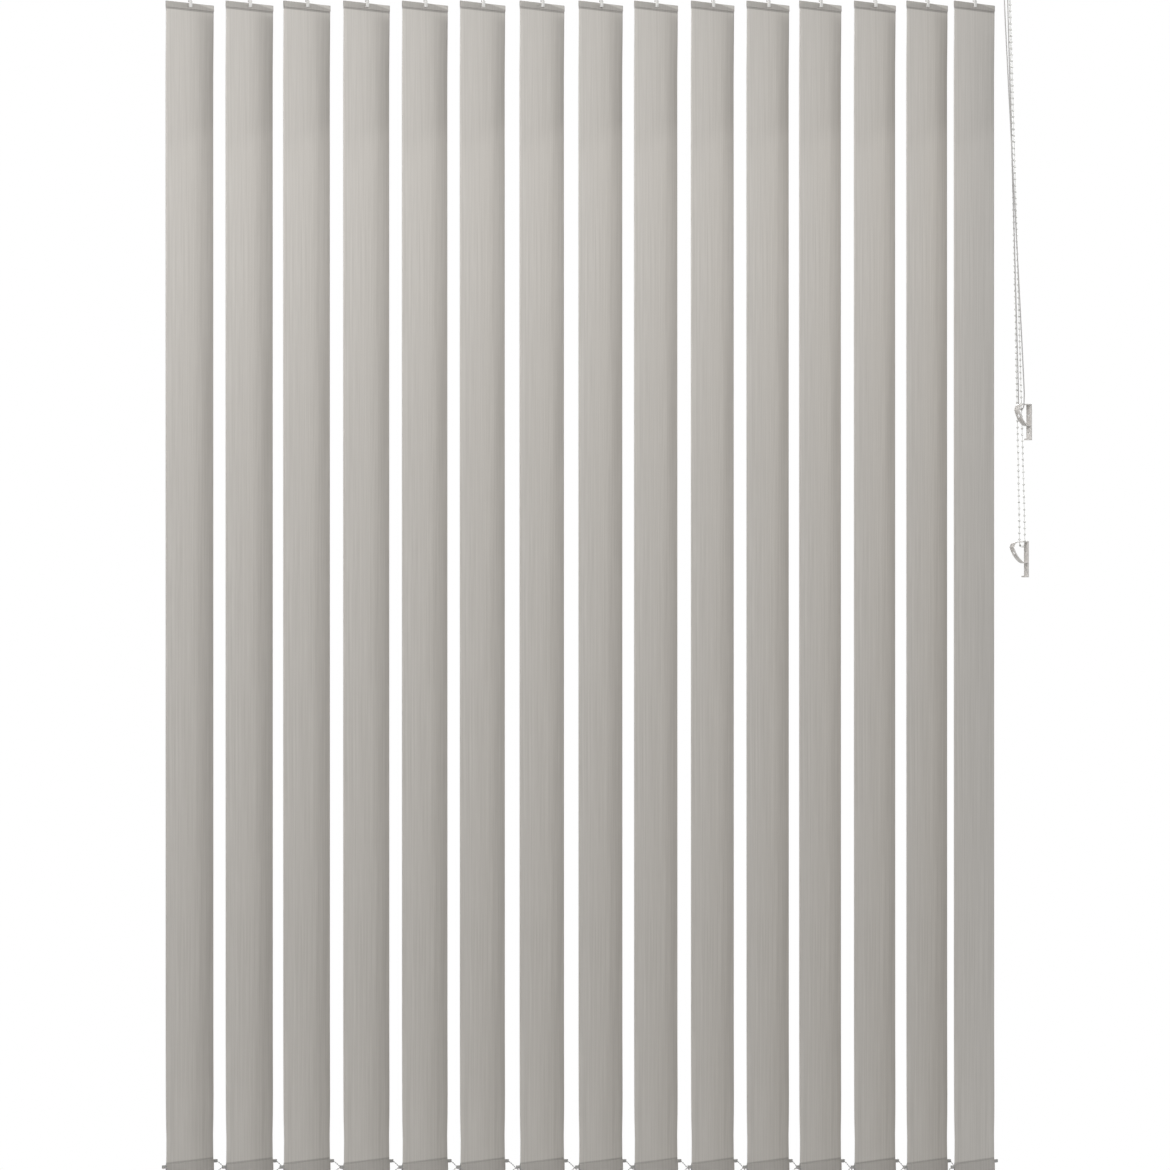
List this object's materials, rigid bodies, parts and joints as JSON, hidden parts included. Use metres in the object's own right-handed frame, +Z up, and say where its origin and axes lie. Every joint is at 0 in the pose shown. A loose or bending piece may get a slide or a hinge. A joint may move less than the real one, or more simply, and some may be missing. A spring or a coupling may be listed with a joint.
{
  "type": "vertical blind",
  "caption": "Vertical blind: pocketed fabric vanes on turning carriers in a slotted headrail, with cord and chain controls and stabiliser chains.",
  "frame": {"origin": "on the ceiling, at the middle bracket's upper face", "axes": "+X along the headrail to the control end, +Y away from the room, +Z up"},
  "size_m": [1.6805, 0.111, 2.333],
  "materials": {
    "rail_white": "powder coated white, satin",
    "spring_steel": "zinc plated",
    "housing_white": "moulded, low gloss",
    "truck_grey": "moulded acetal",
    "rod_aluminium": "extruded",
    "fitting_white": "moulded, slightly translucent",
    "vane_fabric": "coated weave, warm grey",
    "chain_plastic": "moulded beads",
    "cord_white": "braided polyester",
    "clip_plastic": "clear moulding"
  },
  "bodies": {
    "headrail_assembly": {"headrail": "rail_white", "ceiling_brackets": "spring_steel", "control_housing": "housing_white", "return_end_cap": "housing_white", "truck_15": "truck_grey", "tilt_chain": "chain_plastic", "traverse_cord": "cord_white", "cord_clip": "clip_plastic", "chain_clip": "clip_plastic"},
    "tilt_shaft": {"tilt_rod": "rod_aluminium", "chain_wheel": "truck_grey"},
    "front_cord_pulley": {"cord_pulley_front": "truck_grey"},
    "back_cord_pulley": {"cord_pulley_back": "truck_grey"},
    "return_cord_pulley": {"return_pulley": "truck_grey"},
    "carrier_01": {"truck_01": "truck_grey"},
    "carrier_02": {"truck_02": "truck_grey"},
    "carrier_03": {"truck_03": "truck_grey"},
    "carrier_04": {"truck_04": "truck_grey"},
    "carrier_05": {"truck_05": "truck_grey"},
    "carrier_06": {"truck_06": "truck_grey"},
    "carrier_07": {"truck_07": "truck_grey"},
    "carrier_08": {"truck_08": "truck_grey"},
    "carrier_09": {"truck_09": "truck_grey"},
    "carrier_10": {"truck_10": "truck_grey"},
    "carrier_11": {"truck_11": "truck_grey"},
    "carrier_12": {"truck_12": "truck_grey"},
    "carrier_13": {"truck_13": "truck_grey"},
    "carrier_14": {"truck_14": "truck_grey"},
    "hung_vane_01": {"vane_01": "vane_fabric", "vane_fittings_01": "fitting_white"},
    "hung_vane_02": {"vane_02": "vane_fabric", "vane_fittings_02": "fitting_white"},
    "hung_vane_03": {"vane_03": "vane_fabric", "vane_fittings_03": "fitting_white"},
    "hung_vane_04": {"vane_04": "vane_fabric", "vane_fittings_04": "fitting_white"},
    "hung_vane_05": {"vane_05": "vane_fabric", "vane_fittings_05": "fitting_white"},
    "hung_vane_06": {"vane_06": "vane_fabric", "vane_fittings_06": "fitting_white"},
    "hung_vane_07": {"vane_07": "vane_fabric", "vane_fittings_07": "fitting_white"},
    "hung_vane_08": {"vane_08": "vane_fabric", "vane_fittings_08": "fitting_white"},
    "hung_vane_09": {"vane_09": "vane_fabric", "vane_fittings_09": "fitting_white"},
    "hung_vane_10": {"vane_10": "vane_fabric", "vane_fittings_10": "fitting_white"},
    "hung_vane_11": {"vane_11": "vane_fabric", "vane_fittings_11": "fitting_white"},
    "hung_vane_12": {"vane_12": "vane_fabric", "vane_fittings_12": "fitting_white"},
    "hung_vane_13": {"vane_13": "vane_fabric", "vane_fittings_13": "fitting_white"},
    "hung_vane_14": {"vane_14": "vane_fabric", "vane_fittings_14": "fitting_white"},
    "hung_vane_15": {"vane_15": "vane_fabric", "vane_fittings_15": "fitting_white"},
    "front_stabiliser": {"front_chain": "chain_plastic"},
    "back_stabiliser": {"back_chain": "chain_plastic"}
  },
  "joints": [
    {"name": "traverse", "type": "slide", "parent": "headrail_assembly", "child": "carrier_01", "axis": [1, 0, 0], "range_m": [0, 1.0577], "deforming": ["front_chain", "back_chain"]},
    {"name": "traverse_02", "type": "slide", "parent": "headrail_assembly", "child": "carrier_02", "axis": [1, 0, 0], "range_m": [0, 0.9777]},
    {"name": "traverse_03", "type": "slide", "parent": "headrail_assembly", "child": "carrier_03", "axis": [1, 0, 0], "range_m": [0, 0.90035]},
    {"name": "traverse_04", "type": "slide", "parent": "headrail_assembly", "child": "carrier_04", "axis": [1, 0, 0], "range_m": [0, 0.81985]},
    {"name": "traverse_05", "type": "slide", "parent": "headrail_assembly", "child": "carrier_05", "axis": [1, 0, 0], "range_m": [0, 0.7411]},
    {"name": "traverse_06", "type": "slide", "parent": "headrail_assembly", "child": "carrier_06", "axis": [1, 0, 0], "range_m": [0, 0.6634]},
    {"name": "traverse_07", "type": "slide", "parent": "headrail_assembly", "child": "carrier_07", "axis": [1, 0, 0], "range_m": [0, 0.58325]},
    {"name": "traverse_08", "type": "slide", "parent": "headrail_assembly", "child": "carrier_08", "axis": [1, 0, 0], "range_m": [0, 0.50415]},
    {"name": "traverse_09", "type": "slide", "parent": "headrail_assembly", "child": "carrier_09", "axis": [1, 0, 0], "range_m": [0, 0.4296]},
    {"name": "traverse_10", "type": "slide", "parent": "headrail_assembly", "child": "carrier_10", "axis": [1, 0, 0], "range_m": [0, 0.3533]},
    {"name": "traverse_11", "type": "slide", "parent": "headrail_assembly", "child": "carrier_11", "axis": [1, 0, 0], "range_m": [0, 0.27875]},
    {"name": "traverse_12", "type": "slide", "parent": "headrail_assembly", "child": "carrier_12", "axis": [1, 0, 0], "range_m": [0, 0.20805]},
    {"name": "traverse_13", "type": "slide", "parent": "headrail_assembly", "child": "carrier_13", "axis": [1, 0, 0], "range_m": [0, 0.13455]},
    {"name": "traverse_14", "type": "slide", "parent": "headrail_assembly", "child": "carrier_14", "axis": [1, 0, 0], "range_m": [0, 0.0642]},
    {"name": "tilt_01", "type": "hinge", "parent": "carrier_01", "child": "hung_vane_01", "pos_m": [-0.761, 0, 0], "axis": [0, 0, 1], "range_deg": [-37.5, 111.5]},
    {"name": "tilt_02", "type": "hinge", "parent": "carrier_02", "child": "hung_vane_02", "pos_m": [-0.646, 0, 0], "axis": [0, 0, 1], "range_deg": [-37.5, 111.5]},
    {"name": "tilt_03", "type": "hinge", "parent": "carrier_03", "child": "hung_vane_03", "pos_m": [-0.5355, 0, 0], "axis": [0, 0, 1], "range_deg": [-37.5, 111.5]},
    {"name": "tilt_04", "type": "hinge", "parent": "carrier_04", "child": "hung_vane_04", "pos_m": [-0.4205, 0, 0], "axis": [0, 0, 1], "range_deg": [-37.5, 111.5]},
    {"name": "tilt_05", "type": "hinge", "parent": "carrier_05", "child": "hung_vane_05", "pos_m": [-0.308, 0, 0], "axis": [0, 0, 1], "range_deg": [-37.5, 111.5]},
    {"name": "tilt_06", "type": "hinge", "parent": "carrier_06", "child": "hung_vane_06", "pos_m": [-0.197, 0, 0], "axis": [0, 0, 1], "range_deg": [-37.5, 111.5]},
    {"name": "tilt_07", "type": "hinge", "parent": "carrier_07", "child": "hung_vane_07", "pos_m": [-0.0825, 0, 0], "axis": [0, 0, 1], "range_deg": [-37.5, 111.5]},
    {"name": "tilt_08", "type": "hinge", "parent": "carrier_08", "child": "hung_vane_08", "pos_m": [0.0305, 0, 0], "axis": [0, 0, 1], "range_deg": [-37.5, 111.5]},
    {"name": "tilt_09", "type": "hinge", "parent": "carrier_09", "child": "hung_vane_09", "pos_m": [0.137, 0, 0], "axis": [0, 0, 1], "range_deg": [-37.5, 111.5]},
    {"name": "tilt_10", "type": "hinge", "parent": "carrier_10", "child": "hung_vane_10", "pos_m": [0.246, 0, 0], "axis": [0, 0, 1], "range_deg": [-37.5, 111.5]},
    {"name": "tilt_11", "type": "hinge", "parent": "carrier_11", "child": "hung_vane_11", "pos_m": [0.3525, 0, 0], "axis": [0, 0, 1], "range_deg": [-37.5, 111.5]},
    {"name": "tilt_12", "type": "hinge", "parent": "carrier_12", "child": "hung_vane_12", "pos_m": [0.4535, 0, 0], "axis": [0, 0, 1], "range_deg": [-37.5, 111.5]},
    {"name": "tilt_13", "type": "hinge", "parent": "carrier_13", "child": "hung_vane_13", "pos_m": [0.5585, 0, 0], "axis": [0, 0, 1], "range_deg": [-37.5, 111.5]},
    {"name": "tilt_14", "type": "hinge", "parent": "carrier_14", "child": "hung_vane_14", "pos_m": [0.659, 0, 0], "axis": [0, 0, 1], "range_deg": [-37.5, 111.5]},
    {"name": "tilt", "type": "hinge", "parent": "headrail_assembly", "child": "hung_vane_15", "pos_m": [0.75, 0, 0], "axis": [0, 0, 1], "range_deg": [-37, 111]},
    {"name": "rod_turn", "type": "hinge", "parent": "headrail_assembly", "child": "tilt_shaft", "pos_m": [0, 0.0095, -0.0195], "axis": [1, 0, 0], "range_deg": [-188, 558]},
    {"name": "front_chain_turn", "type": "hinge", "parent": "hung_vane_15", "child": "front_stabiliser", "pos_m": [0.7041, -0.05152, 0], "axis": [0, 0, 1], "range_deg": [-111.5, 37.5]},
    {"name": "back_chain_turn", "type": "hinge", "parent": "hung_vane_15", "child": "back_stabiliser", "pos_m": [0.7959, 0.05152, 0], "axis": [0, 0, 1], "range_deg": [-111.5, 37.5]},
    {"name": "front_pulley_turn", "type": "hinge", "parent": "headrail_assembly", "child": "front_cord_pulley", "pos_m": [0.8009, -0.0174, -0.0215], "axis": [0, 1, 0], "continuous": true},
    {"name": "back_pulley_turn", "type": "hinge", "parent": "headrail_assembly", "child": "back_cord_pulley", "pos_m": [0.8079, -0.0102, -0.0215], "axis": [0, 1, 0], "continuous": true},
    {"name": "return_pulley_turn", "type": "hinge", "parent": "headrail_assembly", "child": "return_cord_pulley", "pos_m": [-0.8118, -0.0138, -0.016], "axis": [0, 0, 1], "continuous": true}
  ],
  "couplings": [
    {"joint": "traverse_02", "follows": "traverse", "ratio": 0.92389},
    {"joint": "traverse_03", "follows": "traverse", "ratio": 0.85076},
    {"joint": "traverse_04", "follows": "traverse", "ratio": 0.77465},
    {"joint": "traverse_05", "follows": "traverse", "ratio": 0.7002},
    {"joint": "traverse_06", "follows": "traverse", "ratio": 0.62674},
    {"joint": "traverse_07", "follows": "traverse", "ratio": 0.55096},
    {"joint": "traverse_08", "follows": "traverse", "ratio": 0.47617},
    {"joint": "traverse_09", "follows": "traverse", "ratio": 0.40569},
    {"joint": "traverse_10", "follows": "traverse", "ratio": 0.33355},
    {"joint": "traverse_11", "follows": "traverse", "ratio": 0.26307},
    {"joint": "traverse_12", "follows": "traverse", "ratio": 0.19623},
    {"joint": "traverse_13", "follows": "traverse", "ratio": 0.12674},
    {"joint": "traverse_14", "follows": "traverse", "ratio": 0.060225},
    {"joint": "tilt_01", "follows": "tilt", "ratio": 1},
    {"joint": "tilt_02", "follows": "tilt", "ratio": 1},
    {"joint": "tilt_03", "follows": "tilt", "ratio": 1},
    {"joint": "tilt_04", "follows": "tilt", "ratio": 1},
    {"joint": "tilt_05", "follows": "tilt", "ratio": 1},
    {"joint": "tilt_06", "follows": "tilt", "ratio": 1},
    {"joint": "tilt_07", "follows": "tilt", "ratio": 1},
    {"joint": "tilt_08", "follows": "tilt", "ratio": 1},
    {"joint": "tilt_09", "follows": "tilt", "ratio": 1},
    {"joint": "tilt_10", "follows": "tilt", "ratio": 1},
    {"joint": "tilt_11", "follows": "tilt", "ratio": 1},
    {"joint": "tilt_12", "follows": "tilt", "ratio": 1},
    {"joint": "tilt_13", "follows": "tilt", "ratio": 1},
    {"joint": "tilt_14", "follows": "tilt", "ratio": 1},
    {"joint": "rod_turn", "follows": "tilt", "ratio": 5},
    {"joint": "front_chain_turn", "follows": "tilt", "ratio": -1},
    {"joint": "back_chain_turn", "follows": "tilt", "ratio": -1},
    {"joint": "front_pulley_turn", "follows": "traverse", "rad_per_m": 181.82},
    {"joint": "back_pulley_turn", "follows": "traverse", "rad_per_m": -181.82},
    {"joint": "return_pulley_turn", "follows": "traverse", "rad_per_m": 277.78}
  ]
}
